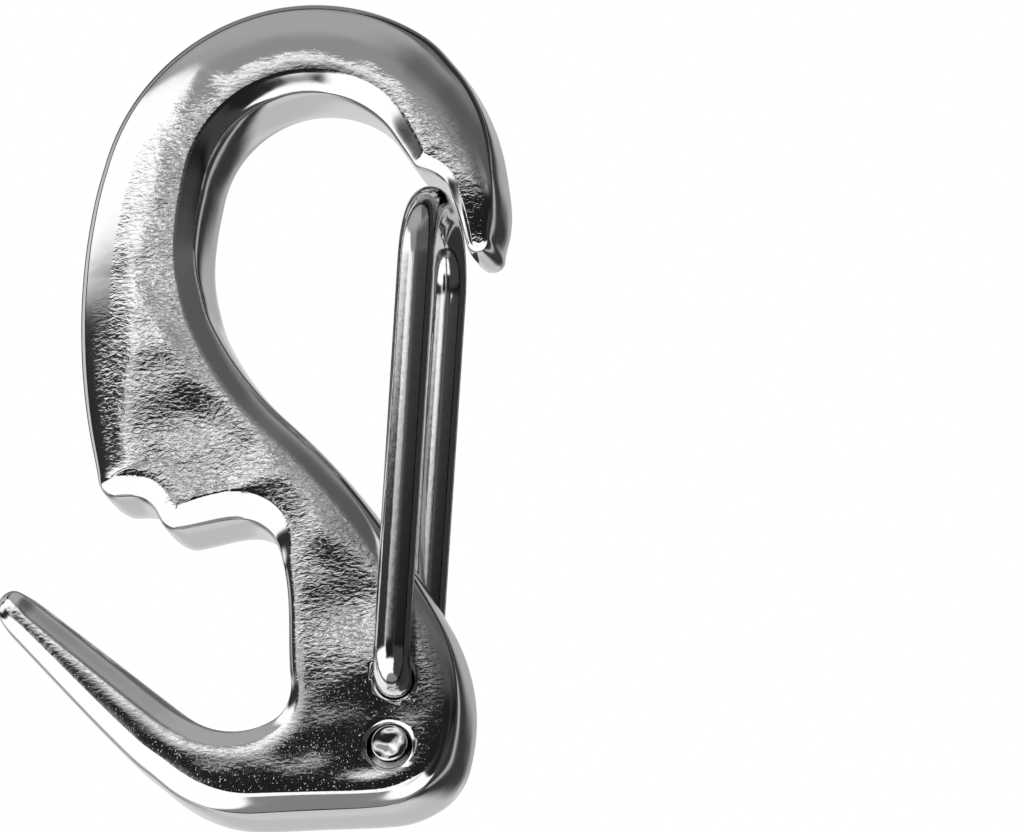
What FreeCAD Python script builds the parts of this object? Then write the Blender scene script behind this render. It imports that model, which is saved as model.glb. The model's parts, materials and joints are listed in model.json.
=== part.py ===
import FreeCAD, Part
import math
import os

# Wire-gate sail hank: one forging with two mouths, and one sprung wire gate.
# Millimetres. +Z is up, +X is towards the gate, and the front face looks to -Y.
# The origin is the centre of the round stay seat, half way through the thickness.

# Forging
thickness = 10.0
outer_round = 2.8         # edge rounding along the outside
inner_round = 2.4         # edge rounding inside the two mouths
slim_round = 1.5          # edge rounding along the slim ends of both hooks and round the eyelet
wall_round = 0.9          # edge rounding along the eyelet's straight wall
corner_round = 1.5        # edge rounding round the tight turns of the shoulder
tip_round = 0.9           # edge rounding round the hook tips and the nose seat

# Wire of the gate
wire_dia = 3.0
leg_gap = 0.2             # clear space between a leg and the face of the forging
elbow_radius = 2.4        # centre line of the bend from a leg into its pin
pin_recess = 0.5          # how far a pin's end lies below the face
punch_dia = 1.9           # punch mark in a pin's end
punch_depth = 0.4
seam = 0.03               # half of the split where the two halves of the wire meet

# Main sizes. Places are (x, z). Those of the upper hook and of the gate's nose are measured
# from the stay seat, those of the lower hook and of the pivots from the eyelet seat.
seat_drop = 38.02         # the eyelet seat's centre below the stay seat's
seat_shift = -5.8         # and beside it
arm_reach = -18.36        # from the eyelet seat's centre to the middle of the arm's tip
arm_lift = 4.58

# Pivots and nose of the gate
front_pivot = (13.5, -3.21)
back_pivot = (13.01, -8.29)
nose_centre = (10.09, -0.77)
nose_gap = 0.3            # between the nose and the hook tip
nose_straight = 0.8       # half of the straight length in the middle of the bow
front_clearance = 0.05    # radial, the front pin in its hole
back_clearance = 0.32     # radial, the back pin in its hole, which the wire's flexing needs
back_drop = 0.25          # how far the back hole's centre lies below the resting pin
mouth_width = 0.35        # how far the lead-in of a hole stands outside the hole
mouth_depth = 0.6

# The outline runs anticlockwise. Its long bends have a start, an end and a rise, which is
# how far the middle stands out from the straight line between them, or in if it is negative.

# Upper hook
seat_radius = 8.43
crown_start, crown_end, crown_rise = (9.36, 13.58), (-17.2, 3.96), 7.2
brow_start, brow_end, brow_rise = (15.18, 4.44), (12.26, 10.57), 0.41
cheek_start, cheek_end, cheek_rise = (15.62, -2.45), (15.68, 0.74), 0.1
tip_centre, tip_radius = (14.19, -4.57), 1.12
nib_centre, nib_radius = (9.84, 2.74), 1.25
bay_start, bay_end, bay_rise = (-1.66, -18.64), (-7.68, -10.37), -0.48
flank_start, flank_end, flank_rise = (-8.64, -7.28), (-9.01, -3.04), -0.17

# Spine and the scalloped shoulder at its foot
spine_start, spine_end, spine_rise = (-18.06, 0.78), (-12.26, 17.96), 1.1
shoulder_start, shoulder_end, shoulder_rise = (-11.54, 14.74), (-10.37, 13.29), 0.23
step_start, step_end, step_rise = (-8.3, 13.08), (-7.02, 12.36), -0.13
scallop_start, scallop_end, scallop_rise = (-6.22, 11.02), (-4.34, 10.21), 0.28

# Lower hook
throat_start, throat_end, throat_rise = (-0.09, 10.84), (2.87, 9.51), -0.4
throat_wall_top, throat_wall_foot = (4.19, 6.38), (4.68, -1.65)
corner_start, corner_end, corner_rise = (4.76, -2.66), (4.42, -4.56), -0.13
eyelet_start, eyelet_end, eyelet_rise = (3.23, -5.75), (-3.03, -5.55), -0.81
arm_inside_foot = (-5.31, -3.86)
arm_inside_end = (2.45, 0.08)
arm_tip_radius = 1.4
arm_outside_end = (0.15, -2.86)
arm_outside_foot = (-9.11, -8.03)
sole_start, sole_end, sole_rise = (-6.0, -10.76), (0.14, -13.61), 0.51
sole_left, sole_right = (2.89, -13.72), (9.29, -13.71)
heel_start, heel_end, heel_rise = (12.02, -13.61), (16.64, -11.58), 0.45
hip_start, hip_end, hip_rise = (18.35, -8.08), (16.63, 2.84), 1.02

half = thickness / 2
wire_radius = wire_dia / 2
leg_offset = half + leg_gap + wire_radius
through = FreeCAD.Vector(0, 1, 0)


def point(xz, y=0.0):
    return FreeCAD.Vector(xz[0], y, xz[1])


def lower(place):
    """A place that is measured from the eyelet seat."""
    return (place[0] + seat_shift, place[1] - seat_drop)


def by_arm_tip(place):
    """A place that is measured from the middle of the arm's tip."""
    return lower((place[0] + arm_reach, place[1] + arm_lift))


def on_circle(centre, radius, degrees):
    angle = math.radians(degrees)
    return (centre[0] + radius * math.cos(angle), centre[1] + radius * math.sin(angle))


def turned(heading, angle):
    """A heading turned anticlockwise by an angle in radians."""
    cosine, sine = math.cos(angle), math.sin(angle)
    return (heading[0] * cosine - heading[1] * sine, heading[0] * sine + heading[1] * cosine)


def arc_stretch(centre, radius, start, end, rounding):
    """A round stretch of the outline, with its headings at both ends and its edge rounding."""
    first, last = on_circle(centre, radius, start), on_circle(centre, radius, end)
    middle = on_circle(centre, radius, (start + end) / 2)
    quarter = 90 if end > start else -90
    return {"edge": Part.Arc(point(first), point(middle), point(last)).toShape(),
            "first": first, "last": last,
            "heading_in": on_circle((0, 0), 1, start + quarter),
            "heading_out": on_circle((0, 0), 1, end + quarter),
            "rounding": rounding}


def bow_stretch(first, last, rise, rounding):
    """A long bend of the outline, straight where its rise is 0."""
    length = math.dist(first, last)
    along = ((last[0] - first[0]) / length, (last[1] - first[1]) / length)
    bend = 2 * math.atan(2 * rise / length)
    if rise == 0:
        edge = Part.LineSegment(point(first), point(last)).toShape()
    else:
        middle = ((first[0] + last[0]) / 2 + rise * along[1],
                  (first[1] + last[1]) / 2 - rise * along[0])
        edge = Part.Arc(point(first), point(middle), point(last)).toShape()
    return {"edge": edge, "first": first, "last": last,
            "heading_in": turned(along, -bend),
            "heading_out": turned(along, bend),
            "rounding": rounding}


def easing(before, after):
    """A curve that leaves one stretch and enters the next without a kink."""
    start, end = before["last"], after["first"]
    reach = 0.38 * math.dist(start, end)
    leaving, entering = before["heading_out"], after["heading_in"]
    poles = [start,
             (start[0] + reach * leaving[0], start[1] + reach * leaving[1]),
             (end[0] - reach * entering[0], end[1] - reach * entering[1]),
             end]
    curve = Part.BezierCurve()
    curve.setPoles([point(pole) for pole in poles])
    return curve.toShape()


def outline_stretches():
    """The outline, anticlockwise from the tip of the upper hook."""
    outer = min(outer_round, 0.4 * thickness)
    inner = min(inner_round, 0.4 * thickness)
    nose_seat = wire_radius + nose_gap
    upper_back = [
        arc_stretch(tip_centre, tip_radius, 190, 365, tip_round),
        bow_stretch(cheek_start, cheek_end, cheek_rise, slim_round),
        bow_stretch(brow_start, brow_end, brow_rise, outer),
        bow_stretch(crown_start, crown_end, crown_rise, outer),
        bow_stretch(spine_start, lower(spine_end), spine_rise, outer),
    ]
    shoulder = [
        bow_stretch(lower(shoulder_start), lower(shoulder_end), shoulder_rise, corner_round),
        bow_stretch(lower(step_start), lower(step_end), step_rise, corner_round),
        bow_stretch(lower(scallop_start), lower(scallop_end), scallop_rise, corner_round),
    ]
    lower_mouth = [
        bow_stretch(lower(throat_start), lower(throat_end), throat_rise, inner),
        bow_stretch(lower(throat_wall_top), lower(throat_wall_foot), 0, wall_round),
        bow_stretch(lower(corner_start), lower(corner_end), corner_rise, wall_round),
        bow_stretch(lower(eyelet_start), lower(eyelet_end), eyelet_rise, slim_round),
    ]
    arm = [
        bow_stretch(lower(arm_inside_foot), by_arm_tip(arm_inside_end), 0, slim_round),
        arc_stretch(by_arm_tip((0, 0)), arm_tip_radius, 62, 192, tip_round),
        bow_stretch(by_arm_tip(arm_outside_end), lower(arm_outside_foot), 0, slim_round),
    ]
    foot = [
        bow_stretch(lower(sole_start), lower(sole_end), sole_rise, outer),
        bow_stretch(lower(sole_left), lower(sole_right), 0, outer),
        bow_stretch(lower(heel_start), lower(heel_end), heel_rise, outer),
        bow_stretch(lower(hip_start), lower(hip_end), hip_rise, outer),
    ]
    upper_mouth = [
        bow_stretch(bay_start, bay_end, bay_rise, inner),
        bow_stretch(flank_start, flank_end, flank_rise, inner),
        arc_stretch((0, 0), seat_radius, 168, 34, inner),
        arc_stretch(nib_centre, nib_radius, 215, 250, tip_round),
        arc_stretch(nose_centre, nose_seat, 52, 20, tip_round),
    ]
    return upper_back + shoulder + lower_mouth + arm + foot + upper_mouth


def middle_of(edge):
    return edge.valueAt((edge.FirstParameter + edge.LastParameter) / 2)


def rounded_edges(blank, edge, start_radius, end_radius):
    """The two edges of the blank that lie over one edge of the outline, with their radii."""
    found = []
    for side in (-half, half):
        shift = FreeCAD.Vector(0, side, 0)
        for number, candidate in enumerate(blank.Edges, 1):
            if middle_of(candidate).distanceToPoint(middle_of(edge) + shift) > 0.001:
                continue
            starts_alike = candidate.firstVertex().Point.distanceToPoint(
                edge.firstVertex().Point + shift) < 0.001
            radii = (start_radius, end_radius) if starts_alike else (end_radius, start_radius)
            found.append((number,) + radii)
    return found


def pivot_hole(centre, radius):
    """A hole through the forging with a bevelled lead-in at each face."""
    cutter = Part.makeCylinder(radius, thickness, point(centre, -half), through)
    for side in (-1, 1):
        lead_in = Part.makeCone(radius + mouth_width, radius, mouth_depth,
                                point(centre, side * half), through * -side)
        cutter = cutter.fuse(lead_in)
    return cutter


def hook_body():
    stretches = outline_stretches()
    edges, radii = [], []
    for stretch, following in zip(stretches, stretches[1:] + stretches[:1]):
        edges += [stretch["edge"], easing(stretch, following)]
        radii += [(stretch["rounding"], stretch["rounding"]),
                  (stretch["rounding"], following["rounding"])]
    blank = Part.Face(Part.Wire(edges)).extrude(through * thickness)
    blank.translate(through * -half)

    document = FreeCAD.newDocument("forging")
    base = document.addObject("Part::Feature", "blank")
    base.Shape = blank
    rounding = document.addObject("Part::Fillet", "rounding")
    rounding.Base = base
    jobs = []
    for edge, (start_radius, end_radius) in zip(edges, radii):
        jobs += rounded_edges(blank, edge, start_radius, end_radius)
    rounding.Edges = jobs
    document.recompute()
    body = rounding.Shape

    body = body.cut(pivot_hole(lower(front_pivot), wire_radius + front_clearance))
    back_hole = lower((back_pivot[0], back_pivot[1] - back_drop))
    body = body.cut(pivot_hole(back_hole, wire_radius + back_clearance))
    return body.Solids[0]


def gate_half(pivot, side):
    """Half of the gate wire: pin, elbow, leg and half of the bow. Side -1 is the front."""
    rise = point(nose_centre) - point(pivot)
    rise.normalize()
    outwards = through * side
    bow_radius = leg_offset - nose_straight
    pin_end = point(pivot, -side * (half - pin_recess))
    elbow_start = point(pivot, side * (leg_offset - elbow_radius))
    elbow_centre = elbow_start + rise * elbow_radius
    leg_foot = elbow_centre + outwards * elbow_radius
    bow_top = point(nose_centre, side * nose_straight)
    bow_centre = bow_top - rise * bow_radius
    leg_top = bow_centre + outwards * bow_radius
    halfway = math.sqrt(0.5)
    elbow_middle = elbow_centre + (outwards - rise) * (elbow_radius * halfway)
    bow_middle = bow_centre + (outwards + rise) * (bow_radius * halfway)

    path = Part.Wire([
        Part.LineSegment(pin_end, elbow_start).toShape(),
        Part.Arc(elbow_start, elbow_middle, leg_foot).toShape(),
        Part.LineSegment(leg_foot, leg_top).toShape(),
        Part.Arc(leg_top, bow_middle, bow_top).toShape(),
        Part.LineSegment(bow_top, point(nose_centre, side * seam)).toShape(),
    ])
    section = Part.Wire(Part.makeCircle(wire_radius, pin_end, through))
    wire = path.makePipeShell([section], True, True)
    punch = Part.makeCone(punch_dia / 2, 0, punch_depth, pin_end, outwards)
    return wire.cut(punch).Solids[0]


os.makedirs("parts", exist_ok=True)
hook_body().exportStep("parts/hook_body.step")
gate_half(lower(front_pivot), -1).exportStep("parts/gate_wire_front.step")
gate_half(lower(back_pivot), 1).exportStep("parts/gate_wire_back.step")
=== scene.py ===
import json
import math

import bmesh
import bpy
import numpy as np
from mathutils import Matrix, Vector


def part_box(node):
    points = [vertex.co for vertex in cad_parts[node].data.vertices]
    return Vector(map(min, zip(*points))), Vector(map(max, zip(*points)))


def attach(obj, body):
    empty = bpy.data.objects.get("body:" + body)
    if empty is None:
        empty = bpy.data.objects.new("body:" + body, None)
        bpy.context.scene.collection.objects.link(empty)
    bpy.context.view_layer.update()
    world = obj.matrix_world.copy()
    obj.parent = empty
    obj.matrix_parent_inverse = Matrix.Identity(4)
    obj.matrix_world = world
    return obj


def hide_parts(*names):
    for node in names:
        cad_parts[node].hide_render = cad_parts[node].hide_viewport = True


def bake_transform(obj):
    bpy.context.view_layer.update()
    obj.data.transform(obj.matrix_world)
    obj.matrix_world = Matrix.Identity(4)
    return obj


# Wire-gate sail hank: polished forging and one sprung wire gate.
# Shapes are worked out in millimetres in the CAD's frame and put into the meshes in metres. A pair
# of coordinates is (x, z), and y runs through the thickness, from the front to the back.
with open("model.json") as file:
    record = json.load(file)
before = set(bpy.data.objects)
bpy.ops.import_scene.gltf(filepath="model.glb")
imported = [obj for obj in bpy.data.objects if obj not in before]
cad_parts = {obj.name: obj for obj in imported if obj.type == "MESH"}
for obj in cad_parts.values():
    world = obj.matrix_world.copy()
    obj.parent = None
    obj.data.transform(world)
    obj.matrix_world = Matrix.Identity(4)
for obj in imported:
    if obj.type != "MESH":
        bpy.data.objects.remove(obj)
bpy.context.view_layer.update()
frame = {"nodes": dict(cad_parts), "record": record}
mm = 0.001
hookNode = frame["nodes"]["hook_body"]
jointPlaces = {joint["name"]: joint["pos_m"] for joint in frame["record"]["behaviour"]["joints"]}
print("frame loaded:", ", ".join(sorted(frame["nodes"])))


def gridFaces(rows, columns, closedColumns=False):
    # Four corners per cell of a rows x columns grid of vertices, in reading order.
    r = np.arange(rows - 1)
    c = np.arange(columns if closedColumns else columns - 1)
    r, c = (part.ravel() for part in np.meshgrid(r, c, indexing="ij"))
    nextColumn = (c + 1) % columns
    return np.stack([r * columns + c, r * columns + nextColumn,
                     (r + 1) * columns + nextColumn, (r + 1) * columns + c], 1)


def makePiece(name, points, faces, attributes={}, mergeBelow=0.0005):
    # Puts a grid (millimetres) into a mesh (metres), closes its seams and turns its faces outwards.
    mesh = bpy.data.meshes.new(name)
    mesh.from_pydata((points * mm).tolist(), [], faces.tolist())
    for label, values in attributes.items():
        layer = mesh.attributes.new(label, "FLOAT", "POINT")
        layer.data.foreach_set("value", values.astype(np.float32))
    work = bmesh.new()
    work.from_mesh(mesh)
    bmesh.ops.remove_doubles(work, verts=work.verts, dist=mergeBelow * mm)
    if work.calc_volume(signed=True) < 0:
        bmesh.ops.reverse_faces(work, faces=work.faces)
    work.to_mesh(mesh)
    work.free()
    mesh.shade_smooth()
    piece = bpy.data.objects.new(name, mesh)
    bpy.context.scene.collection.objects.link(piece)
    return piece


def smoothStep(low, high, x):
    # 0 below low, 1 above high, and an s-shaped rise between them
    t = np.clip((x - low) / (high - low), 0, 1)
    return t * t * (3 - 2 * t)


def softWaves(x, z, seed, shortest, longest, count=28):
    # Sum of cosines with random headings, lengths and starts, scaled to a spread of about one.
    rng = np.random.default_rng(seed)
    heading = rng.uniform(0, 2 * np.pi, count)
    number = 2 * np.pi / rng.uniform(shortest, longest, count)
    start = rng.uniform(0, 2 * np.pi, count)
    along = np.multiply.outer(x, np.cos(heading)) + np.multiply.outer(z, np.sin(heading))
    return np.cos(along * number + start).sum(-1) / math.sqrt(count / 2)


def midPlaneLoops(node):
    # Each triangle that crosses the plane gives one short step between two of its sides. The steps are
    # followed head to tail into closed loops, and only points on upright sides lie on the true wall.
    level = 0.0137           # just off the middle, where no vertex lies
    mesh = node.data
    mesh.calc_loop_triangles()
    places = np.empty(len(mesh.vertices) * 3, np.float32)
    mesh.vertices.foreach_get("co", places)
    corners = np.empty(len(mesh.loop_triangles) * 3, np.int32)
    mesh.loop_triangles.foreach_get("vertices", corners)
    triangle = places.reshape(-1, 3).astype(float)[corners.reshape(-1, 3)] / mm
    above = triangle[:, :, 1] > level
    crossing = above.any(1) & ~above.all(1)
    triangle, above = triangle[crossing], above[crossing]
    row = np.arange(len(triangle))
    lone = np.where(above.sum(1) == 1, above.argmax(1), (~above).argmax(1))
    loneAbove = above[row, lone][:, None]

    def crossingPoint(step):
        # the side from the lone corner to another, always taken from its low end to its high end
        a, b = triangle[row, lone], triangle[row, (lone + step) % 3]
        low, high = np.where(loneAbove, b, a), np.where(loneAbove, a, b)
        share = (level - low[:, 1]) / (high[:, 1] - low[:, 1])
        point = low + (high - low) * share[:, None]
        lean = np.hypot(high[:, 0] - low[:, 0], high[:, 2] - low[:, 2])
        return point[:, [0, 2]], lean < 0.005

    (one, oneUpright), (two, twoUpright) = crossingPoint(1), crossingPoint(2)
    start, end = np.where(loneAbove, one, two), np.where(loneAbove, two, one)
    startUpright = np.where(loneAbove[:, 0], oneUpright, twoUpright)
    place, number = np.unique(np.concatenate([start, end]), axis=0, return_inverse=True)
    number = number.ravel()
    follower = np.empty(len(place), int)
    follower[number[:len(start)]] = number[len(start):]
    upright = np.zeros(len(place), bool)
    upright[number[:len(start)]] = startUpright
    loops, left = [], set(range(len(place)))
    while left:
        loop = [min(left)]
        while follower[loop[-1]] != loop[0]:
            loop.append(follower[loop[-1]])
        left -= set(loop)
        loops.append(place[[k for k in loop if upright[k]]])
    return sorted(loops, key=len, reverse=True)


def closedSpline(points):
    # Periodic cubic through the points, run by chord length. Returns its length and a function
    # that gives places and unit headings at distances along it.
    step = np.linalg.norm(np.roll(points, -1, 0) - points, axis=1)
    knot = np.concatenate([[0], np.cumsum(step)])
    count = len(points)
    before = np.roll(step, 1)
    k = np.arange(count)
    system = np.zeros((count, count))
    system[k, k] = 2 * (before + step)
    system[k, (k - 1) % count] = before
    system[k, (k + 1) % count] = step
    slope = (np.roll(points, -1, 0) - points) / step[:, None]
    bend = np.linalg.solve(system, 6 * (slope - np.roll(slope, 1, 0)))

    def at(distance):
        d = np.asarray(distance) % knot[-1]
        i = np.clip(np.searchsorted(knot, d, "right") - 1, 0, count - 1)
        j = (i + 1) % count
        h = step[i][..., None]
        a, b = knot[i + 1][..., None] - d[..., None], d[..., None] - knot[i][..., None]
        place = (bend[i] * a ** 3 + bend[j] * b ** 3) / (6 * h) \
            + (points[i] / h - bend[i] * h / 6) * a + (points[j] / h - bend[j] * h / 6) * b
        heading = (bend[j] * b ** 2 - bend[i] * a ** 2) / (2 * h) \
            + (points[j] - points[i]) / h - (bend[j] - bend[i]) * h / 6
        return place, heading / np.linalg.norm(heading, axis=-1, keepdims=True)

    return knot[-1], at


loops = midPlaneLoops(hookNode)
outlinePoints = loops[0]
area = 0.5 * np.sum(outlinePoints[:, 0] * np.roll(outlinePoints[:, 1], -1)
                    - np.roll(outlinePoints[:, 0], -1) * outlinePoints[:, 1])
if area < 0:
    outlinePoints = outlinePoints[::-1]
outlineLength, outlineAt = closedSpline(outlinePoints)
print(f"outline read: {len(outlinePoints)} points, {outlineLength:.1f} mm round")


forging = {
    "halfThickness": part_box("hook_body")[1][1] / mm,
    "inset": 0.005,          # how far the outline is drawn in, to stay inside the CAD's
    "stations": 640,
    "faceColumns": 22,
    "roundingColumns": 11,
    "wallColumns": 8,
    "crowding": 0.11,        # how far a face's columns crowd towards its edges, as a share
    "crown": 0.16,           # how far the middle of the wall stands out beyond its edges
    "cornerHeight": 0.75,    # an edge's rounding down the wall, as a share of its width on the face
    "steepCorner": 1.3,      # the same for a steep start, as a share of its slope
    "reach": 9.3,            # how far from a rounding the face starts to fall, per slope
    "mostReach": 0.5,        # and at most, as a share of the face's width
    "tipHeight": 0.55,       # what is left of the thickness at the very tips
    "waveHeight": 0.02,      # spread of the slow unevenness of the faces
    "waveLengths": (2.5, 7.0),
    "evenStrip": 2.5,        # width beside a rounding over which the unevenness fades
    "lowest": 0.2,           # how far below the CAD's face the even parts lie
    "risen": 0.8,            # share of a rounding over which that depth is made up
}

# Where the relief of the dies is seen: 1 is full. Pairs are the places between which it changes.
hammering = {
    "smoothFalls": (0.14, 0.3),       # slopes of a face between which its outer strip turns smooth
    "smoothStrip": (0.4, 1.9),        # width of that strip, and what the crown adds to it
    "stripHeights": (4, 11),
    "crownLoss": 0.7,
    "crownHeights": (5, 10),
    "armLoss": 0.5,
    "armSides": (-8, -13),
    "armHeights": (-30, -34),
    "waistSides": (-8, -12),          # the waist's outside stays rough up to its edge
    "waistHeights": (-7, -15),
    "waistFoot": -26,
    "waistTurns": (0.1, 0.5),         # shares of the rounding over which the roughness ends
    "streakHeights": (-44, -37),      # specks below, wavelets above
}

# Places where the dies pressed a face slightly askew: x, z, radius, lean downwards and lean to the
# left, both in degrees.
pressed = {
    "spine": (-13.5, 2.0, 7.0, -0.8, 3.0),
    "waist": (-10.2, -16.0, 5.5, 4.0, 0.0),
    "diagonal": (-4.0, -22.5, 4.5, -1.5, 2.0),
    "hip": (4.3, -31.0, 3.8, 4.0, -1.0),
    "throat": (4.3, -37.7, 3.0, -3.5, 2.0),
    "foot": (2.0, -47.5, 1.7, -2.0, 1.0),
    "heel": (6.0, -44.0, 8.0, 1.5, -1.0),
    "crown": (0.0, 12.5, 6.0, -2.5, 0.0),
}

# The two tips: x, z, the heading in which each points, and the length over which it thins.
tips = {
    "hook": (14.19, -5.85, 0.0, -1.0, 8.5),
    "arm": (-25.56, -32.5, -0.79, 0.61, 2.4),
}

# Rungs across the forging from the tip of the hook to the tip of the arm: a place on the side of
# the spine and the arm's inside, a place on the side of the seat and the arm's outside, both as
# (x, z), and for the edge at each place the width of its rounding, the kink in degrees at which
# the rounding leaves the face, and the slope that the face reaches beside it.
rungs = {
    "hookTip": ((14.19, -5.69), (14.19, -5.69), (0.6, 8, 0.1), (0.6, 14, 0.1)),
    "beak": ((15.34, -4.07), (13.14, -3.97), (0.75, 4, 0.1), (0.75, 26, 0.06)),
    "noseSeat": ((15.74, -0.59), (11.89, -0.41), (0.9, 2, 0.14), (0.95, 26, 0.08)),
    "nib": ((15.49, 2.92), (9.89, 1.49), (1.5, 0, 0.22), (1.2, 24, 0.14)),
    "brow": ((13.69, 8.51), (8.09, 3.38), (2.5, 0, 0.28), (1.7, 18, 0.12)),
    "crownFront": ((9.39, 13.72), (5.29, 6.52), (2.8, 0, 0.3), (2.0, 20, 0.12)),
    "crownTop": ((0.29, 16.56), (0.29, 8.43), (2.8, 0, 0.3), (1.95, 20, 0.12)),
    "crownBack": ((-9.31, 14.23), (-4.71, 7.0), (2.8, 0, 0.3), (1.95, 20, 0.1)),
    "spineTop": ((-16.21, 6.47), (-7.91, 2.56), (2.8, 0, 0.3), (1.9, 20, 0.07)),
    "spine": ((-18.71, -2.91), (-9.01, -3.89), (2.8, 0, 0.3), (1.8, 18, 0.06)),
    "spineWaist": ((-19.11, -10.89), (-7.91, -9.94), (2.8, 0, 0.3), (1.95, 16, 0.06)),
    "spineFoot": ((-18.01, -20.45), (-4.71, -15.2), (2.3, 0, 0.28), (2.1, 12, 0.12)),
    "spineEnd": ((-17.35, -22.7), (-3.6, -16.4), (2.0, 2, 0.26), (2.1, 12, 0.14)),
    "shoulder": ((-16.71, -24.31), (-2.91, -17.28), (1.7, 24, 0.14), (2.1, 12, 0.14)),
    "step": ((-13.31, -25.28), (-1.31, -18.96), (1.7, 24, 0.14), (2.1, 12, 0.14)),
    "scallop": ((-10.91, -27.69), (0.09, -20.33), (1.9, 24, 0.12), (2.1, 12, 0.14)),
    "scallopEnd": ((-5.71, -27.2), (2.09, -22.63), (2.2, 24, 0.12), (2.1, 12, 0.14)),
    "throat": ((-2.91, -28.48), (4.49, -25.44), (1.9, 24, 0.14), (2.1, 10, 0.14)),
    "throatWall": ((-1.61, -31.65), (7.89, -30.41), (0.7, 24, 0.14), (1.9, 8, 0.18)),
    "hip": ((-1.31, -35.76), (11.49, -36.89), (0.6, 24, 0.14), (1.3, 4, 0.2)),
    "hipFoot": ((-1.11, -39.97), (12.89, -42.95), (0.6, 24, 0.14), (1.2, 4, 0.2)),
    "heel": ((-1.16, -42.07), (12.29, -47.43), (0.9, 24, 0.14), (1.2, 6, 0.2)),
    "heelFoot": ((-2.31, -43.71), (8.79, -51.05), (1.3, 24, 0.14), (1.4, 29, 0.15)),
    "sole": ((-4.31, -44.42), (1.29, -51.79), (1.5, 24, 0.14), (1.6, 36, 0.14)),
    "soleBack": ((-6.21, -44.42), (-4.71, -51.7), (1.6, 24, 0.14), (1.7, 32, 0.14)),
    "armRoot": ((-8.91, -43.59), (-10.31, -49.62), (1.8, 24, 0.14), (1.8, 22, 0.14)),
    "armFoot": ((-11.31, -41.77), (-14.91, -46.1), (2.0, 24, 0.14), (1.6, 18, 0.1)),
    "armEnd": ((-21.71, -33.37), (-24.01, -36.3), (1.7, 24, 0.1), (1.25, 14, 0.08)),
    "armNose": ((-23.21, -32.39), (-25.31, -34.39), (1.3, 20, 0.1), (1.0, 10, 0.08)),
    "armTip": ((-25.11, -32.5), (-25.11, -32.5), (0.9, 10, 0.1), (0.9, 10, 0.1)),
}


def nearestDistance(places):
    # the distance along the outline of the point that is nearest to each place
    samples = np.linspace(0, outlineLength, 6000, endpoint=False)
    gap = outlineAt(samples)[0][None] - np.asarray(places)[:, None]
    return samples[np.argmin((gap ** 2).sum(-1), axis=1)]


def runAlong(keyed, keys, t):
    # Smooth monotone course through keyed values (cubic with Fritsch and Carlson's slopes).
    step, rise = np.diff(keys), np.diff(keyed)
    slope = rise / step
    both = (slope[:-1] * slope[1:]) > 0
    inner = np.where(both, 2 * slope[:-1] * slope[1:] / np.where(both, slope[:-1] + slope[1:], 1), 0)
    tangent = np.concatenate([slope[:1], inner, slope[-1:]])
    i = np.clip(np.searchsorted(keys, t, "right") - 1, 0, len(step) - 1)
    u = (t - keys[i]) / step[i]
    return (keyed[i] * (1 + 2 * u) * (1 - u) ** 2 + keyed[i + 1] * u * u * (3 - 2 * u)
            + step[i] * u * (1 - u) * (tangent[i] * (1 - u) - tangent[i + 1] * u))


def edgeProfile(width, firstAngle, sag):
    # From a face's edge, round the corner and down to the middle of the wall: distance inwards from
    # the outline and depth below the face. The corner is a parabola between the first angle and the
    # lean of the crowned wall, and the wall bulges like a cubic.
    half, crown = forging["halfThickness"], forging["crown"]
    width, first, sag = width[:, None], firstAngle[:, None], sag[:, None]
    span = width - crown
    drop = span * np.maximum(forging["cornerHeight"], forging["steepCorner"] * np.tan(first))
    height = sag + drop
    last = np.pi / 2 - np.arctan(3 * crown / (half - height))
    reach = (span * np.sin(last) - drop * np.cos(last)) / np.sin(last - first)
    turn = np.linspace(0, 1, forging["roundingColumns"] + 1)[None]
    before, middle, after = (1 - turn) ** 2, 2 * turn * (1 - turn), turn ** 2
    inwards = before * width + middle * (width - reach * np.cos(first)) + after * crown
    depth = before * sag + middle * (sag + reach * np.sin(first)) + after * height
    down = np.linspace(1, 0, forging["wallColumns"] // 2 + 1)[None, 1:]
    inwards = np.concatenate([inwards, crown * down ** 3 + 0 * width], 1)
    depth = np.concatenate([depth, half - (half - height) * down], 1)
    return inwards, depth, np.concatenate([turn + 0 * width, 1 + 0 * down * width], 1)


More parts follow.
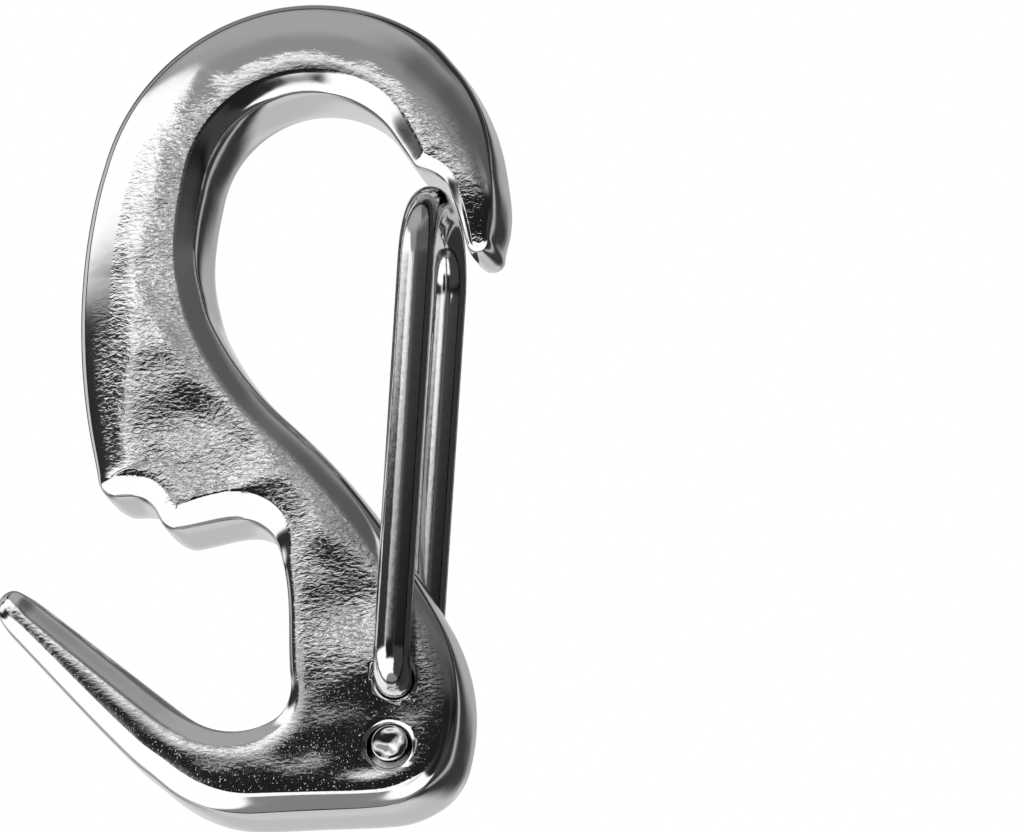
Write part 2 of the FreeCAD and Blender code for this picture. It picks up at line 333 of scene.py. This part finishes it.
def forgedHook():
    # A closed tube of cross-sections. Each one runs over the front face, round one edge, over the
    # back face and round the other edge. The tube is pinched shut at both tips.
    half = forging["halfThickness"]
    names = list(rungs)
    left = nearestDistance([rungs[n][0] for n in names])
    right = nearestDistance([rungs[n][1] for n in names])
    left = left[0] + (left - left[0]) % outlineLength
    right = right[0] - (right[0] - right) % outlineLength
    keys = np.concatenate([[0], np.cumsum((np.diff(left) - np.diff(right)) / 2)])
    t = np.linspace(0, keys[-1], forging["stations"] + 1)
    sides = []
    for distances, column in ((left, 2), (right, 3)):
        at, heading = outlineAt(runAlong(distances, keys, t))
        edges = np.array([rungs[n][column] for n in names], float)
        width, kink, fall = (runAlong(edges[:, k], keys, t) for k in range(3))
        inward = np.stack([-heading[:, 1], heading[:, 0]], 1)
        at = at + forging["inset"] * inward
        sides.append({"at": at, "inward": inward, "width": width, "kink": kink, "fall": fall,
                      "reach": forging["reach"] * fall, "edge": at + inward * width[:, None]})
    rungLength = np.linalg.norm(sides[1]["edge"] - sides[0]["edge"], axis=1)
    for side in sides:
        side["reach"] = np.minimum(side["reach"], forging["mostReach"] * rungLength) + 1e-6
        sag = side["fall"] * side["reach"] / 2
        firstAngle = np.arctan(side["fall"]) + np.radians(side["kink"])
        inwards, side["depth"], side["turn"] = edgeProfile(side["width"], firstAngle, sag)
        side["xz"] = side["at"][:, None] + side["inward"][:, None] * inwards[..., None]

    # Each face is ruled between the two edges, with narrow columns next to them, and falls towards
    # each edge along a parabola.
    share = np.linspace(0, 1, forging["faceColumns"] + 1)
    share = share - forging["crowding"] * np.sin(2 * np.pi * share)
    a, b = sides[0]["edge"], sides[1]["edge"]
    face = a[:, None] + (b - a)[:, None] * share[:, None]
    along = (b - a) / np.maximum(rungLength, 1e-6)[:, None]
    squareness = [np.clip(np.abs((along * side["inward"]).sum(1)), 0.4, 1)[:, None] for side in sides]
    fromEdge = (rungLength[:, None] * share * squareness[0],
                rungLength[:, None] * (1 - share) * squareness[1])
    inside = smoothStep(0, forging["evenStrip"], np.minimum(*fromEdge))

    def roughWaist(xz):
        # 1 on the outside of the spine below the mouth's middle, fading upwards and inwards
        x, z = xz[..., 0], xz[..., 1]
        return (smoothStep(*hammering["waistHeights"], z) * smoothStep(*hammering["waistSides"], x)
                * (z > hammering["waistFoot"]))

    fallen, hammered = 0, 1
    faceX, faceZ = face[..., 0], face[..., 1]
    width, widening = hammering["smoothStrip"]
    stripWidth = width + widening * smoothStep(*hammering["stripHeights"], faceZ)
    for side, gap in zip(sides, fromEdge):
        reach = side["reach"][:, None]
        fallen = fallen + side["fall"][:, None] * reach / 2 * np.clip(1 - gap / reach, 0, 1) ** 2
        smooth = smoothStep(*hammering["smoothFalls"], side["fall"])[:, None]
        smooth = smooth * (1 - smoothStep(0, stripWidth, gap))
        hammered = hammered * (1 - smooth * (1 - roughWaist(face)))
    onCrown = smoothStep(*hammering["crownHeights"], faceZ)
    onArm = smoothStep(*hammering["armSides"], faceX) * smoothStep(*hammering["armHeights"], faceZ)
    hammered = hammered * (1 - hammering["crownLoss"] * onCrown) * (1 - hammering["armLoss"] * onArm)

    def lowered(xz, seed):
        # Slow unevenness away from the edges, inwards only: soft waves, and at each pressed place
        # a slope that fades away like a bell.
        x, z = xz[..., 0], xz[..., 1]
        depth = forging["waveHeight"] * softWaves(x, z, seed, *forging["waveLengths"])
        for placeX, placeZ, radius, down, left in pressed.values():
            bell = np.exp(-((x - placeX) ** 2 + (z - placeZ) ** 2) / radius ** 2)
            slope = math.radians(down) * (z - placeZ) + math.radians(left) * (x - placeX)
            depth = depth - slope * bell
        return np.maximum(0, depth * inside + forging["lowest"])

    def thinning(xz):
        # Each tip narrows in thickness along a quarter of an ellipse.
        share = 1
        for tipX, tipZ, headingX, headingZ, length in tips.values():
            back = (tipX - xz[..., 0]) * headingX + (tipZ - xz[..., 1]) * headingZ
            near = np.hypot(tipX - xz[..., 0], tipZ - xz[..., 1]) < 2 * length
            full = np.sqrt(1 - (1 - np.clip(back / length, 0, 1)) ** 2)
            lowest = forging["tipHeight"]
            share = share * np.where(near, lowest + (1 - lowest) * full, 1)
        return share

    strips, hammers = [], []
    for order, side, seed in ((1, -1, 3), (-1, 1, 8)):
        y = side * (half - fallen - lowered(face, seed)) * thinning(face)
        strip = np.stack([face[..., 0], y, face[..., 1]], -1)
        strips.append(strip[:, ::order])
        hammers.append(hammered[:, ::order])
        edge = sides[1] if order > 0 else sides[0]
        for facing, flip in ((side, False), (-side, True)):
            shape = edge["xz"]
            sink = forging["lowest"] * (1 - smoothStep(0, forging["risen"], edge["turn"]))
            y = facing * (half - edge["depth"] - sink) * thinning(shape)
            band = np.stack([shape[..., 0], y, shape[..., 1]], -1)
            rough = roughWaist(shape) * (1 - smoothStep(*hammering["waistTurns"], edge["turn"]))
            # the shared middle line, and the line shared with the face, are left out once
            band, rough = (part[:, ::-1][:, 1:-1] if flip else part[:, 1:] for part in (band, rough))
            strips.append(band)
            hammers.append(rough)
    points = np.concatenate(strips, 1)
    hammer = np.concatenate(hammers, 1)
    streaky = smoothStep(*hammering["streakHeights"], points[..., 2])
    return makePiece("forged_hook", points.reshape(-1, 3),
                     gridFaces(*hammer.shape, closedColumns=True),
                     {"hammered": hammer.ravel(), "streaky": streaky.ravel()})


def lathe(name, centre, profile, sides=72):
    # A profile of (radius, y) turned round an axis along y through centre, closed at both ends.
    turn = np.linspace(0, 2 * np.pi, sides, endpoint=False)
    radius, y = np.array(profile).T
    x = centre[0] + radius[:, None] * np.cos(turn)
    z = centre[1] + radius[:, None] * np.sin(turn)
    points = np.stack([x, y[:, None] + 0 * x, z], -1)
    return makePiece(name, points.reshape(-1, 3), gridFaces(len(radius), sides, closedColumns=True))


def flat(place):
    # the (x, z) of a place in metres, in millimetres
    return place[0] / mm, place[2] / mm


pivots = {
    "front": flat(jointPlaces["gate_open"]),
    "back": (7.21, -46.31),
    "frontHole": 1.55,            # radii
    "backHole": 1.82,
    "backHoleDrop": 0.25,         # how far the back hole's centre lies below its pin
    "lip": 0.36,                  # rounding of a hole's rim
}


def drillHoles(hook):
    # Each hole is cut with a turned pin whose ends flare along a sixth of a circle and then straight
    # on through the faces.
    backX, backZ = pivots["back"]
    holes = {
        "front": (pivots["front"], pivots["frontHole"]),
        "back": ((backX, backZ - pivots["backHoleDrop"]), pivots["backHole"]),
    }
    turn, lip = np.linspace(0, np.pi / 3, 7), pivots["lip"]
    wider = np.append(lip * (1 - np.cos(turn)), lip * (1 - np.cos(turn[-1]) + np.sin(turn[-1])))
    deeper = np.append(lip * (1 - np.sin(turn)), lip * (1 - np.sin(turn[-1]) - np.cos(turn[-1])))
    beyond = forging["halfThickness"] + 1
    for name, (centre, radius) in holes.items():
        ends = []
        for side in (-1, 1):
            start = Vector((centre[0] * mm, side * beyond * mm, centre[1] * mm))
            face = hook.ray_cast(start, Vector((0, -side, 0)))[1].y / mm
            ends.append([(radius + out, face - side * down) for out, down in zip(wider, deeper)]
                        + [(radius + wider[-1], side * beyond), (0, side * beyond)])
        cutter = lathe("drill_" + name, centre, ends[0][::-1] + ends[1])
        cut = hook.modifiers.new(name, "BOOLEAN")
        cut.operation, cut.solver, cut.object = "DIFFERENCE", "EXACT", cutter
        shaped = bpy.data.meshes.new_from_object(
            hook.evaluated_get(bpy.context.evaluated_depsgraph_get()))
        hook.modifiers.remove(cut)
        hook.data = shaped
        bpy.data.objects.remove(cutter)
    hook.data.name = hook.name


hook = forgedHook()
drillHoles(hook)
print(f"forging made: {len(hook.data.polygons)} faces")


# The gate is one wire from pin to pin.
gate = {
    "radius": 1.4995,            # just inside the CAD's
    "legOffset": 6.7,            # centre of a leg from the middle of the forging
    "elbowRadius": 2.4,
    "noseCentre": flat(jointPlaces["gate_flex"]),
    "noseStraight": 0.8,         # half of the straight length over the nose
    "flexing": 3.0,              # half of the stretch over which the wire flexes
    "pinEnd": 4.5,               # where a pin stops, from the middle of the forging
    "pinRoot": 3.5,              # where it starts, hidden in its hole
    "sides": 40,
    "rimRadius": 0.1,            # rounding of a pin's end
    "dome": 0.1,                 # height of its dome
    "punch": (0.12, 0.8),        # depth and radius of the punch mark
    "pinched": 0.018,            # spread of the unevenness of a pin's end
    "pinchLengths": (1.2, 3.0),
    "lean": (0.07, 0.06),        # slope of a pin's end, upwards and to the left
}


def halfGatePath(pivot, side):
    # Places, headings and the level crosswise direction along half of the wire, from its end in the
    # hole to the nose.
    pivot, nose = (np.array([place[0], 0, place[1]]) for place in (pivot, gate["noseCentre"]))
    rise = (nose - pivot) / np.linalg.norm(nose - pivot)
    out = np.array([0, side, 0.0])
    elbow, offset = gate["elbowRadius"], gate["legOffset"]
    bow = offset - gate["noseStraight"]
    legTop = np.linalg.norm(nose - pivot) - bow
    quarter = np.linspace(0, np.pi / 2, 25)
    # along out, along rise, heading out, heading rise
    root = [(o, 0, 1, 0) for o in np.linspace(gate["pinRoot"], offset - elbow, 4)[:-1]]
    bend = [(offset - elbow + elbow * math.sin(q), elbow * (1 - math.cos(q)), math.cos(q), math.sin(q))
            for q in quarter]
    leg = [(offset, r, 0, 1) for r in np.linspace(elbow, legTop, 60)[1:-1]]
    top = [(offset - bow * (1 - math.cos(q)), legTop + bow * math.sin(q), -math.sin(q), math.cos(q))
           for q in np.linspace(0, np.pi / 2, 41)]
    flat = [(o, legTop + bow, -1, 0) for o in np.linspace(gate["noseStraight"], 0, 6)[1:]]
    course = np.array(root + bend + leg + top + flat)
    place = pivot + course[:, :1] * out + course[:, 1:2] * rise
    heading = course[:, 2:3] * out + course[:, 3:4] * rise
    return place, heading, np.tile(np.cross(rise, [0, 1.0, 0]), (len(place), 1))


def carriedWire(name, place, heading, across, shownEnds):
    # Circles of the wire's radius carried along a path and closed by rings at both ends. A shown end
    # rounds its rim, rises to a low, uneven dome and sinks into a punch mark; a hidden one is flat.
    third = np.cross(heading, across)
    turn = np.linspace(0, 2 * np.pi, gate["sides"], endpoint=False)
    circle = across[:, None] * np.cos(turn)[:, None] + third[:, None] * np.sin(turn)[:, None]
    radius, rim = gate["radius"], gate["rimRadius"]
    tube = place[:, None] + radius * circle
    corner = np.linspace(0, np.pi / 2, 6)
    ringRadius = np.concatenate([radius - rim + rim * np.cos(corner)[1:],
                                 np.linspace(radius - rim, 0, 16)[1:]])
    cap = ringRadius[:, None] / radius
    punchDepth, punchRadius = gate["punch"]
    domeHeight = gate["dome"] * (1 - cap ** 2)
    dent = punchDepth * np.exp(-(ringRadius[:, None] / punchRadius) ** 2)
    level, upright = radius * cap * np.cos(turn), radius * cap * np.sin(turn)
    uneven = gate["pinched"] * softWaves(level, upright, 5, *gate["pinchLengths"])
    up, left = gate["lean"]
    leaning = up * upright - left * level
    dent = dent - (uneven + leaning) * (1 - cap ** 6)
    sunk = np.concatenate([rim * (1 - np.sin(corner[1:])), np.zeros(15)])[:, None]
    height = domeHeight - dent - sunk
    ends = []
    for index, sign, shown in zip((0, -1), (-1, 1), shownEnds):
        disc = place[index] + cap[..., None] * radius * circle[index][None]
        if shown:
            # the last stretch is shortened by the rim, so the rings fit on it
            disc = disc + (sign * height)[..., None] * heading[index]
            tube[index] -= sign * rim * heading[index]
        ends.append(disc)
    points = np.concatenate([ends[0][::-1], tube, ends[1]])
    rows, columns = points.shape[:2]
    return makePiece(name, points.reshape(-1, 3), gridFaces(rows, columns, closedColumns=True))


def gateWire():
    # The wire from inside the front hole over the nose to inside the back hole, and its two pins.
    # The pins are pieces of their own, each carried by its own side of the gate.
    front, back = halfGatePath(pivots["front"], -1), halfGatePath(pivots["back"], 1)
    place = np.concatenate([front[0], back[0][::-1][1:]])
    heading = np.concatenate([front[1], -back[1][::-1][1:]])
    share = smoothStep(-gate["noseStraight"], gate["noseStraight"], place[:, 1])[:, None]
    across = front[2][:1] * (1 - share) + back[2][:1] * share
    across /= np.linalg.norm(across, axis=1, keepdims=True)
    wire = carriedWire("gate_wire", place, heading, across, (False, False))
    pins = []
    for index, sign, name in ((0, -1, "front_pin"), (-1, 1, "back_pin")):
        # from the end of the wire straight on through the hole
        length = np.linspace(0, gate["pinRoot"] + gate["pinEnd"], 12)[:, None]
        course = place[index] + sign * length * heading[index]
        same = np.ones_like(length)
        parts = [course, same * heading[index], same * across[index]]
        if index == 0:
            parts = [part[::-1] for part in parts]
        pins.append(carriedWire(name, *parts, (index == 0, index == -1)))
    return wire, pins


wire, (frontPin, backPin) = gateWire()
print(f"gate made: {len(wire.data.polygons)} faces")


# Noise is in cells per metre, and heights are in metres.
polish = {
    "colour": (0.77, 0.77, 0.78, 1),
    "roughness": 0.09,
    "wireRoughness": 0.1,
    "wavelets": (2400, (0.7, 0.7, 1.45), 2, 0.5),   # cells, stretch, detail and distortion
    "specks": (6800, (1, 1, 0.8), 1.5),
    "speckLevels": (0.64, 0.95),                    # noise between which a speck rises
    "waveletsInSpecks": 0.3,
    "reliefHeight": 0.00004,
    "swells": (420, (1, 1, 1), 2),
    "swellHeight": 0.00002,
    "swellStrength": 0.5,
    "clouds": (900, (1, 1, 1), 3),
    "cloudSpread": 0.08,                            # of the roughness
    "grain": (3400, (1, 1, 0.4), 3),
    "grainHeight": 0.000008,
}


def newMaterial(name):
    # bare metal in the polish's colour
    material = bpy.data.materials.new(name)
    material.use_nodes = True
    tree = material.node_tree
    shader = tree.nodes["Principled BSDF"]
    shader.inputs["Metallic"].default_value = 1.0
    shader.inputs["Base Color"].default_value = polish["colour"]
    return material, tree, shader


def noise(tree, coordinates, scale, stretch, detail, distortion=0.0):
    # fractal noise on object coordinates, in cells per metre, drawn out along an axis by stretch
    mapping = tree.nodes.new("ShaderNodeMapping")
    mapping.inputs["Scale"].default_value = stretch
    texture = tree.nodes.new("ShaderNodeTexNoise")
    texture.inputs["Scale"].default_value = scale
    texture.inputs["Detail"].default_value = detail
    texture.inputs["Distortion"].default_value = distortion
    tree.links.new(coordinates, mapping.inputs["Vector"])
    tree.links.new(mapping.outputs["Vector"], texture.inputs["Vector"])
    return texture.outputs["Fac"]


def maths(tree, operation, first, second):
    # one step of arithmetic on two numbers or outputs
    node = tree.nodes.new("ShaderNodeMath")
    node.operation = operation
    for socket, value in zip(node.inputs, (first, second)):
        if isinstance(value, (int, float)):
            socket.default_value = value
        else:
            tree.links.new(value, socket)
    return node.outputs["Value"]


def mixed(tree, factor, first, second):
    # first where the factor is 0, second where it is 1
    node = tree.nodes.new("ShaderNodeMix")
    for socket, value in zip((node.inputs[0], node.inputs[2], node.inputs[3]), (factor, first, second)):
        if isinstance(value, (int, float)):
            socket.default_value = value
        else:
            tree.links.new(value, socket)
    return node.outputs[0]


def attribute(tree, name):
    # a value that the mesh keeps at each point
    node = tree.nodes.new("ShaderNodeAttribute")
    node.attribute_name = name
    return node.outputs["Fac"]


def bump(tree, height, distance, strength=1.0, normal=None):
    # a normal tilted by the slope of a height, on top of another normal
    node = tree.nodes.new("ShaderNodeBump")
    node.inputs["Distance"].default_value = distance
    if isinstance(strength, (int, float)):
        node.inputs["Strength"].default_value = strength
    else:
        tree.links.new(strength, node.inputs["Strength"])
    tree.links.new(height, node.inputs["Height"])
    if normal is not None:
        tree.links.new(normal, node.inputs["Normal"])
    return node.outputs["Normal"]


def forgedFinish():
    # Polished steel. The faces keep a hammered relief: short level wavelets up the spine and down
    # the diagonal, and small specks on the foot. The edges are smooth.
    material, tree, shader = newMaterial("polished_forging")
    coordinates = tree.nodes.new("ShaderNodeTexCoord").outputs["Object"]
    wavelets = noise(tree, coordinates, *polish["wavelets"])
    sparse = tree.nodes.new("ShaderNodeMapRange")
    sparse.interpolation_type = "SMOOTHSTEP"
    lowest, highest = polish["speckLevels"]
    sparse.inputs["From Min"].default_value = lowest
    sparse.inputs["From Max"].default_value = highest
    tree.links.new(noise(tree, coordinates, *polish["specks"]), sparse.inputs["Value"])
    specks = maths(tree, "MULTIPLY_ADD", wavelets, polish["waveletsInSpecks"])
    tree.links.new(sparse.outputs["Result"], specks.node.inputs[2])
    relief = mixed(tree, attribute(tree, "streaky"), specks, wavelets)
    fine = bump(tree, relief, polish["reliefHeight"], attribute(tree, "hammered"))
    swells = noise(tree, coordinates, *polish["swells"])
    normal = bump(tree, swells, polish["swellHeight"], polish["swellStrength"], fine)
    tree.links.new(normal, shader.inputs["Normal"])
    rough = maths(tree, "MULTIPLY_ADD", noise(tree, coordinates, *polish["clouds"]), polish["cloudSpread"])
    rough.node.inputs[2].default_value = polish["roughness"] - polish["cloudSpread"] / 2
    tree.links.new(rough, shader.inputs["Roughness"])
    return material


def wireFinish():
    # Polished wire with a faint grain that is drawn out along its length.
    material, tree, shader = newMaterial("polished_wire")
    coordinates = tree.nodes.new("ShaderNodeTexCoord").outputs["Object"]
    grain = noise(tree, coordinates, *polish["grain"])
    tree.links.new(bump(tree, grain, polish["grainHeight"]), shader.inputs["Normal"])
    shader.inputs["Roughness"].default_value = polish["wireRoughness"]
    return material


hook.data.materials.clear()
hook.data.materials.append(forgedFinish())
wire.data.materials.append(wireFinish())
for pin in (frontPin, backPin):
    pin.data.materials.append(wire.data.materials[0])
for node, piece in (("hook_body", hook), ("gate_wire_front", wire), ("gate_wire_back", wire)):
    frame["nodes"][node].data.materials.clear()
    frame["nodes"][node].data.materials.append(piece.data.materials[0])

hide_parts("hook_body")
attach(hook, "hook")
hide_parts("gate_wire_front", "gate_wire_back")
for pin, node, body in ((frontPin, "gate_wire_front", "gate_front"),
                        (backPin, "gate_wire_back", "gate_back")):
    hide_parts(node)
    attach(pin, body)
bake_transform(wire)
print("pieces finished")


studio = {
    "azimuth": 10.8,
    "elevation": -14.6,
    "distance": 0.8,
    "target": (0.01638, 0.0, -0.01852),
    "frameWidth": 0.0831,        # what the picture's width spans at the target
    "floorHeight": -0.4,
    "floorGrey": 0.9,
    "floorSide": 6.0,
    "worldForDiffuse": 0.6,
    "tentCentre": (0.0, 0.0, -0.018),
    "tentRadius": 0.3,
    "lamp": (-40, 55, 0.9, 0.5, 2),   # azimuth, elevation, distance, size and power
}


def direction(azimuth, elevation):
    # the unit direction from the object; azimuth 0 is the front, +90 the right
    a, e = math.radians(azimuth), math.radians(elevation)
    return Vector((math.sin(a) * math.cos(e), -math.cos(a) * math.cos(e), math.sin(e)))


def placeCamera():
    # a long lens whose picture spans the frame's width at the target
    data = bpy.data.cameras.new("camera")
    data.lens = data.sensor_width * studio["distance"] / studio["frameWidth"]
    data.clip_start, data.clip_end = 0.01, 20
    camera = bpy.data.objects.new("camera", data)
    bpy.context.scene.collection.objects.link(camera)
    away = direction(studio["azimuth"], studio["elevation"])
    camera.location = Vector(studio["target"]) + away * studio["distance"]
    camera.rotation_mode = "QUATERNION"
    camera.rotation_quaternion = (-away).to_track_quat("-Z", "Y")
    bpy.context.scene.camera = camera


def seenBackground(tree):
    # 1 for rays from the camera, mirrors and glass, 0 for light that is gathered by dull surfaces
    path = tree.nodes.new("ShaderNodeLightPath")
    seen = maths(tree, "MAXIMUM", path.outputs["Is Camera Ray"], path.outputs["Is Glossy Ray"])
    return maths(tree, "MAXIMUM", seen, path.outputs["Is Transmission Ray"])


def lightWorld():
    # white where it is seen and dimmer as light
    world = bpy.data.worlds.new("studio")
    bpy.context.scene.world = world
    world.use_nodes = True
    tree = world.node_tree
    background = tree.nodes["Background"]
    background.inputs["Color"].default_value = (1, 1, 1, 1)
    strength = mixed(tree, seenBackground(tree), studio["worldForDiffuse"], 1.0)
    tree.links.new(strength, background.inputs["Strength"])


# A light tent in front of the object and a pale table behind it, with a dark line where they meet.
# Panels: middle azimuth, half width, middle elevation, half height, roll, level and softness of the
# edges. All are degrees but the level. A later panel hangs in front of an earlier one.
frontPanels = {
    "middle": (0, 181, 6, 20, 0, 0.24, 8),
    "frontGlow": (-38, 20, 8, 14, 0, 0.62, 18),
    "rightFade": (66, 54, -4, 36, 0, 0.01, 20),
    "ceiling": (0, 181, 62, 42, 0, 0.36, 4),
    "highSoftbox": (-71, 64, 30, 14, 0, 1.3, 2),
    "ceilingFront": (-7.3, 50, 81.7, 44, 45, 0.33, 1.2),
    "ceilingHigh": (-10, 60, 62, 16, 0, 0.46, 8),
    "upperRight": (90, 82, 32, 18, 0, 0.12, 12),
    "rightHigh": (82, 46, 68, 13, 0, 0.15, 6),
    "frontSill": (-22, 24, 15.25, 3.55, 0, 0.62, 1.4),
    "frontStrip": (-29.5, 21.5, 17.2, 2.0, 0, 1.2, 0.8),
    "darkGap": (-69.5, 36.5, 9.5, 9, 0, 0.03, 4),
    "rightLow": (80, 76, -35, 33, 0, 0.06, 5),
    "frontLow": (-1, 21, -10, 19, 0, 0.015, 2),
    "lowSoftbox": (-62, 38, -32, 30, 0, 1.35, 3),
    "lowFront": (-12, 38, -51, 22, 0, 1.3, 2),
    "under": (0, 181, -77.5, 14.5, 0, 0.27, 1.5),
}
backPanels = {
    "table": (0, 181, 0, 181, 0, 0.72, 1),
    "tableHigh": (180, 80, 62, 30, 0, 0.25, 14),
    "tableLow": (180, 26, -18, 9, 0, 0.6, 5),
    "tableSide": (172, 12, 12, 14, 0, 0.45, 5),
    "tableRight": (120, 46, 5, 80, 0, 0.04, 4),
    "glint": (152, 2.5, 5, 80, 0, 0.5, 1.5),
    "tableLeft": (-138, 13, 8, 40, 0, 0.06, 6),
}
horizon = {"line": 3.1, "soft": 1.0}     # half width and softness of the dark line, in degrees


def tentMaterial(centre, radius):
    # The level at a direction: each panel's window in azimuth and elevation is a pair of smooth
    # steps, and the panels are laid over one another from white.
    material = bpy.data.materials.new("tent")
    material.use_nodes = True
    tree = material.node_tree
    tree.nodes.remove(tree.nodes["Principled BSDF"])
    place = tree.nodes.new("ShaderNodeVectorMath")
    place.operation = "SUBTRACT"
    place.inputs[1].default_value = centre
    tree.links.new(tree.nodes.new("ShaderNodeTexCoord").outputs["Object"], place.inputs[0])
    axes = tree.nodes.new("ShaderNodeSeparateXYZ")
    tree.links.new(place.outputs["Vector"], axes.inputs["Vector"])
    degrees = 180 / math.pi
    ahead = maths(tree, "MULTIPLY", axes.outputs["Y"], -1.0)
    azimuth = maths(tree, "MULTIPLY", maths(tree, "ARCTAN2", axes.outputs["X"], ahead), degrees)

    def angleAbove(axis):
        # the angle whose sine is a coordinate over the radius
        sine = maths(tree, "DIVIDE", axis, radius)
        return maths(tree, "MULTIPLY", maths(tree, "ARCSINE", sine, 0.0), degrees)

    elevation, behind = angleAbove(axes.outputs["Z"]), angleAbove(axes.outputs["Y"])

    def offsetFrom(angle, middle):
        # the angle from a panel's middle, between -180 and 180
        offset = maths(tree, "WRAP", maths(tree, "SUBTRACT", angle, float(middle)), 180.0)
        offset.node.inputs[2].default_value = -180.0
        return offset

    def step(value, low, high):
        # a smooth step from 0 at low to 1 at high
        ramp = tree.nodes.new("ShaderNodeMapRange")
        ramp.interpolation_type = "SMOOTHSTEP"
        ramp.inputs["From Min"].default_value = low
        ramp.inputs["From Max"].default_value = high
        tree.links.new(value, ramp.inputs["Value"])
        return ramp.outputs["Result"]

    def turned(across, up, angle):
        # both offsets as a panel that is rolled by an angle has them
        def part(one, other, operation):
            return maths(tree, operation, maths(tree, "MULTIPLY", one, math.cos(angle)),
                         maths(tree, "MULTIPLY", other, math.sin(angle)))

        return part(across, up, "ADD"), part(up, across, "SUBTRACT")

    def window(offset, half, soft):
        # 1 inside, 0 outside, and a soft edge between
        return step(maths(tree, "ABSOLUTE", offset, 0.0), half + soft, half - soft)

    def laidOver(panels):
        # each panel in turn covers what is there by its own share
        level = 1.0
        for middleAz, halfAz, middleEl, halfEl, roll, panelLevel, soft in panels.values():
            across, up = offsetFrom(azimuth, middleAz), offsetFrom(elevation, middleEl)
            if roll:
                across, up = turned(across, up, math.radians(roll))
            share = maths(tree, "MULTIPLY", window(across, halfAz, soft), window(up, halfEl, soft))
            level = mixed(tree, share, level, float(panelLevel))
        return level

    line, soft = horizon["line"], horizon["soft"]
    level = mixed(tree, step(behind, 0.0, 2 * soft), laidOver(frontPanels), laidOver(backPanels))
    level = mixed(tree, window(behind, line, soft), level, 0.0)
    glow = tree.nodes.new("ShaderNodeEmission")
    tree.links.new(level, glow.inputs["Strength"])
    tree.links.new(glow.outputs["Emission"], tree.nodes["Material Output"].inputs["Surface"])
    return material


def hangTent():
    # A sphere round the object that only its polished surfaces see.
    centre, radius = studio["tentCentre"], studio["tentRadius"]
    turn = np.linspace(0, 2 * np.pi, 48, endpoint=False)
    drop = np.linspace(0.01, np.pi - 0.01, 25)[:, None]
    points = np.stack([np.sin(drop) * np.cos(turn), np.sin(drop) * np.sin(turn),
                       np.cos(drop) + 0 * turn], -1) * radius / mm + np.array(centre) / mm
    tent = makePiece("tent", points.reshape(-1, 3), gridFaces(25, 48, closedColumns=True))
    tent.data.materials.append(tentMaterial(centre, radius))
    tent.visible_camera = False
    tent.visible_diffuse = False
    tent.visible_shadow = False
    tent.visible_transmission = False


def layFloor():
    # A pale floor that takes the object's shadow. Seen from below it is clear, so that it never hides the
    # object.
    side, height = studio["floorSide"], studio["floorHeight"]
    mesh = bpy.data.meshes.new("floor")
    mesh.from_pydata([(-side, -side, height), (side, -side, height), (side, side, height),
                      (-side, side, height)], [], [(0, 1, 2, 3)])
    material = bpy.data.materials.new("floor")
    material.use_nodes = True
    tree = material.node_tree
    shader = tree.nodes["Principled BSDF"]
    grey = studio["floorGrey"]
    shader.inputs["Base Color"].default_value = (grey, grey, grey, 1)
    shader.inputs["Roughness"].default_value = 0.8
    clear = tree.nodes.new("ShaderNodeBsdfTransparent")
    choice = tree.nodes.new("ShaderNodeMixShader")
    tree.links.new(tree.nodes.new("ShaderNodeNewGeometry").outputs["Backfacing"], choice.inputs["Fac"])
    tree.links.new(shader.outputs["BSDF"], choice.inputs[1])
    tree.links.new(clear.outputs["BSDF"], choice.inputs[2])
    tree.links.new(choice.outputs["Shader"], tree.nodes["Material Output"].inputs["Surface"])
    mesh.materials.append(material)
    floor = bpy.data.objects.new("floor", mesh)
    bpy.context.scene.collection.objects.link(floor)


def placeLamp():
    # a square lamp that faces the object and isn't mirrored in it
    azimuth, elevation, distance, size, power = studio["lamp"]
    data = bpy.data.lights.new("soft_light", "AREA")
    data.size, data.energy = size, power
    lamp = bpy.data.objects.new("soft_light", data)
    bpy.context.scene.collection.objects.link(lamp)
    away = direction(azimuth, elevation)
    lamp.location = away * distance
    lamp.rotation_mode = "QUATERNION"
    lamp.rotation_quaternion = (-away).to_track_quat("-Z", "Y")
    lamp.visible_glossy = False


placeCamera()
lightWorld()
layFloor()
hangTent()
placeLamp()
bpy.context.scene.view_settings.view_transform = "Standard"
print("studio set")
